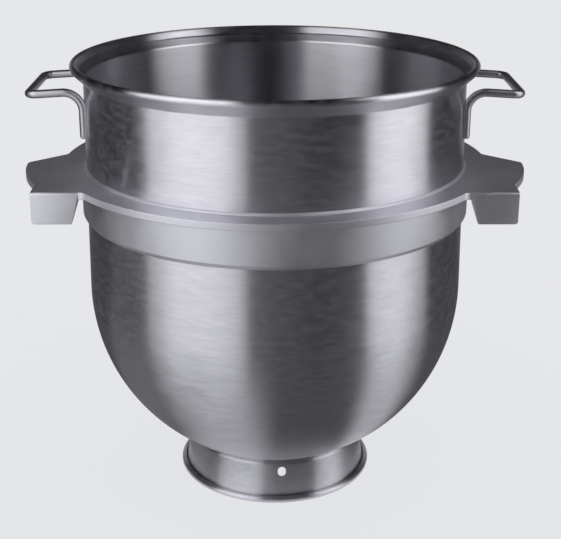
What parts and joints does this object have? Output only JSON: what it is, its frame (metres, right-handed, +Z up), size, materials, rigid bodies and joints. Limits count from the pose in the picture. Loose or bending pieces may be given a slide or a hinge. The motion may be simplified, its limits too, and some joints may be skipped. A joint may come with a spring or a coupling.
{
  "type": "stand mixer bowl",
  "caption": "Deep round-bottomed steel mixing bowl with a rolled rim, rod handles, a thick collar with side ears and bent tabs, and a flared foot ring.",
  "frame": {"origin": "on the bowl's axis, on the level that the foot stands on", "axes": "+Z up along the bowl's axis, X through the two ears and handles, -Y the front, which the bent tabs face"},
  "size_m": [0.4982, 0.4299, 0.446],
  "materials": {
    "bowl_steel": "spun and brushed round the bowl",
    "collar_steel": "blasted matte",
    "handle_steel": "satin drawn rod",
    "foot_steel": "spun satin"
  },
  "bodies": {
    "root": {"bowl_base": "bowl_steel", "bowl_lower": "bowl_steel", "bowl_upper": "bowl_steel", "bowl_wall": "bowl_steel", "bowl_rim": "bowl_steel", "collar_plate": "collar_steel", "collar_band": "collar_steel", "handle_left": "handle_steel", "handle_right": "handle_steel", "foot_ring": "foot_steel"}
  },
  "joints": []
}
